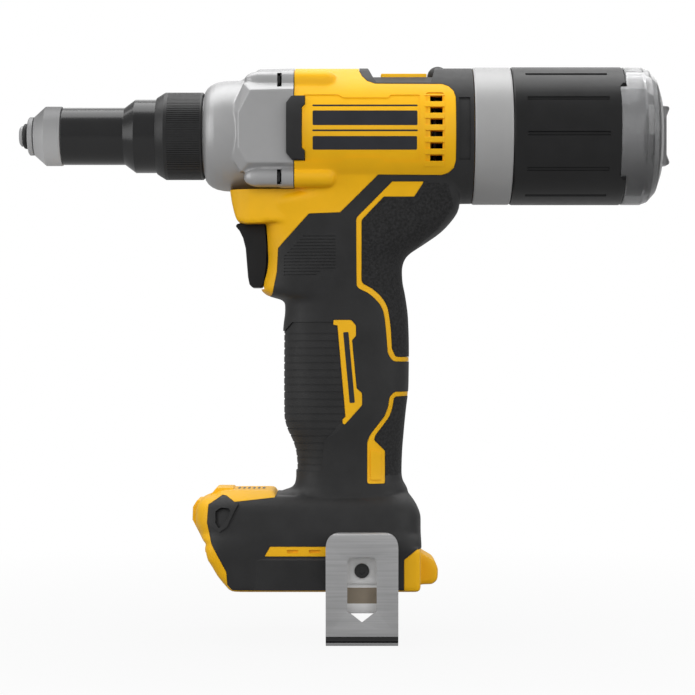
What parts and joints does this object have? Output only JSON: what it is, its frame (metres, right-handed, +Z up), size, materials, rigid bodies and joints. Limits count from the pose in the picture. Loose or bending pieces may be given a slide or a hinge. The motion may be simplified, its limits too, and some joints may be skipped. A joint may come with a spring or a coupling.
{
  "type": "battery rivet tool",
  "caption": "Pistol-grip battery blind-rivet puller with a knurled nose collar, hollow coaxial drive, ribbed mandrel collector, battery foot and belt hook.",
  "frame": {"origin": "centre of the nosepiece's mandrel bore at the tip", "axes": "+X along the pull axis to the rear, +Z up from the grip to the barrel, -Y the tool's left side with the belt hook"},
  "size_m": [0.3046, 0.0795, 0.2656],
  "materials": {
    "steel": "satin",
    "black_steel": "satin",
    "hook_steel": "satin",
    "cast_aluminium": "satin",
    "black_rubber": "matte",
    "black_plastic": "matte",
    "yellow_plastic": "satin",
    "grey_plastic": "satin",
    "smoke_plastic": "gloss",
    "clear_plastic": "gloss",
    "copper": "satin",
    "magnet": "satin",
    "brass": "satin",
    "board": "satin"
  },
  "bodies": {
    "housing": {"gear_case": "cast_aluminium", "gear_case_screws": "black_steel", "thrust_bearing": "steel", "nut_bearing": "steel", "ring_gear": "steel", "stator_core": "steel", "stator_coils": "copper", "motor_bracket": "cast_aluminium", "front_bearing": "steel", "rear_bearing": "steel", "guide_tube": "steel", "rear_ring": "grey_plastic", "collector_seal": "black_rubber", "left_clamshell": "yellow_plastic", "right_clamshell": "yellow_plastic", "left_grip_overmould": "black_rubber", "right_grip_overmould": "black_rubber", "left_barrel_overmould": "black_rubber", "right_barrel_overmould": "black_rubber", "left_foot_overmould": "black_rubber", "right_foot_overmould": "black_rubber", "clamshell_screws": "black_steel", "side_bumpers": "black_rubber", "trigger_spring": "steel", "switch_body": "black_plastic", "control_board": "board", "terminal_block": "black_plastic", "terminal_blades": "brass", "lamp_board": "board", "lamp_lens": "clear_plastic", "belt_hook": "hook_steel", "hook_screw": "black_steel", "hook_inserts": "brass"},
    "nose": {"nosepiece": "steel", "nose_o_ring": "black_rubber", "nose_cap": "steel", "nose_sleeve": "black_steel"},
    "collar": {"nose_collar": "black_steel"},
    "rotor": {"motor_shaft": "steel", "rotor_core": "steel", "rotor_magnets": "magnet", "cooling_fan": "black_plastic"},
    "nut": {"ball_nut": "steel", "planet_carrier": "steel"},
    "planet_1": {"planet_gear_1": "steel"},
    "planet_2": {"planet_gear_2": "steel"},
    "planet_3": {"planet_gear_3": "steel"},
    "screw": {"ball_screw": "steel", "jaw_case": "steel", "jaw_spring": "steel", "anti_rotation_keys": "steel"},
    "jaw_1": {"jaw_1": "steel"},
    "jaw_2": {"jaw_2": "steel"},
    "jaw_3": {"jaw_3": "steel"},
    "pusher": {"jaw_pusher": "steel"},
    "trigger": {"trigger": "black_plastic"},
    "lock_ring": {"collector_lock_ring": "black_plastic"},
    "collector": {"collector_cup": "smoke_plastic", "collector_sleeve": "black_plastic"},
    "plug": {"collector_plug": "smoke_plastic"}
  },
  "joints": [
    {"name": "trigger_pull", "type": "slide", "parent": "housing", "child": "trigger", "axis": [1, 0, 0], "range_m": [0, 0.0065], "stiffness_N_per_m": 700, "springref_m": -0.004, "deforming": ["trigger_spring"]},
    {"name": "nose_off", "type": "slide", "parent": "housing", "child": "nose", "axis": [-1, 0, 0], "range_m": [0, 0.075]},
    {"name": "collar_turn", "type": "hinge", "parent": "nose", "child": "collar", "pos_m": [0.075, 0, 0], "axis": [1, 0, 0], "continuous": true},
    {"name": "rotor_spin", "type": "hinge", "parent": "housing", "child": "rotor", "pos_m": [0.17, 0, 0], "axis": [1, 0, 0], "range_deg": [0, 6676]},
    {"name": "nut_spin", "type": "hinge", "parent": "housing", "child": "nut", "pos_m": [0.115, 0, 0], "axis": [1, 0, 0], "range_deg": [0, 2160.38]},
    {"name": "planet_1_spin", "type": "hinge", "parent": "nut", "child": "planet_1", "pos_m": [0.142, 0, 0.01912], "axis": [1, 0, 0], "range_deg": [-8280.05, 0]},
    {"name": "planet_2_spin", "type": "hinge", "parent": "nut", "child": "planet_2", "pos_m": [0.142, -0.01656, -0.00956], "axis": [1, 0, 0], "range_deg": [-8280.05, 0]},
    {"name": "planet_3_spin", "type": "hinge", "parent": "nut", "child": "planet_3", "pos_m": [0.142, 0.01656, -0.00956], "axis": [1, 0, 0], "range_deg": [-8280.05, 0]},
    {"name": "screw_pull", "type": "slide", "parent": "housing", "child": "screw", "axis": [1, 0, 0], "range_m": [0, 0.03]},
    {"name": "jaw_1_close", "type": "slide", "parent": "screw", "child": "jaw_1", "axis": [-0.9781, 0, -0.2079], "range_m": [0, 0.003]},
    {"name": "jaw_2_close", "type": "slide", "parent": "screw", "child": "jaw_2", "axis": [-0.9781, 0.1801, 0.104], "range_m": [0, 0.003]},
    {"name": "jaw_3_close", "type": "slide", "parent": "screw", "child": "jaw_3", "axis": [-0.9781, -0.1801, 0.104], "range_m": [0, 0.003]},
    {"name": "pusher_slide", "type": "slide", "parent": "screw", "child": "pusher", "axis": [-1, 0, 0], "range_m": [0, 0.00295], "deforming": ["jaw_spring"]},
    {"name": "collector_twist", "type": "hinge", "parent": "housing", "child": "lock_ring", "pos_m": [0.24, 0, 0], "axis": [1, 0, 0], "range_deg": [0, 60]},
    {"name": "collector_pull", "type": "slide", "parent": "lock_ring", "child": "collector", "axis": [1, 0, 0], "range_m": [0, 0.08]},
    {"name": "plug_turn", "type": "hinge", "parent": "collector", "child": "plug", "pos_m": [0.3, 0, 0], "axis": [1, 0, 0], "range_deg": [0, 90]}
  ],
  "couplings": [
    {"joint": "nut_spin", "follows": "rotor_spin", "ratio": 0.32353},
    {"joint": "planet_1_spin", "follows": "rotor_spin", "ratio": -1.2402},
    {"joint": "planet_2_spin", "follows": "rotor_spin", "ratio": -1.2402},
    {"joint": "planet_3_spin", "follows": "rotor_spin", "ratio": -1.2402},
    {"joint": "screw_pull", "follows": "rotor_spin", "m_per_rad": 0.00025746},
    {"joint": "jaw_1_close", "follows": "rotor_spin", "m_per_rad": 0.000025746},
    {"joint": "jaw_2_close", "follows": "rotor_spin", "m_per_rad": 0.000025746},
    {"joint": "jaw_3_close", "follows": "rotor_spin", "m_per_rad": 0.000025746},
    {"joint": "pusher_slide", "follows": "rotor_spin", "m_per_rad": 0.000025183}
  ]
}
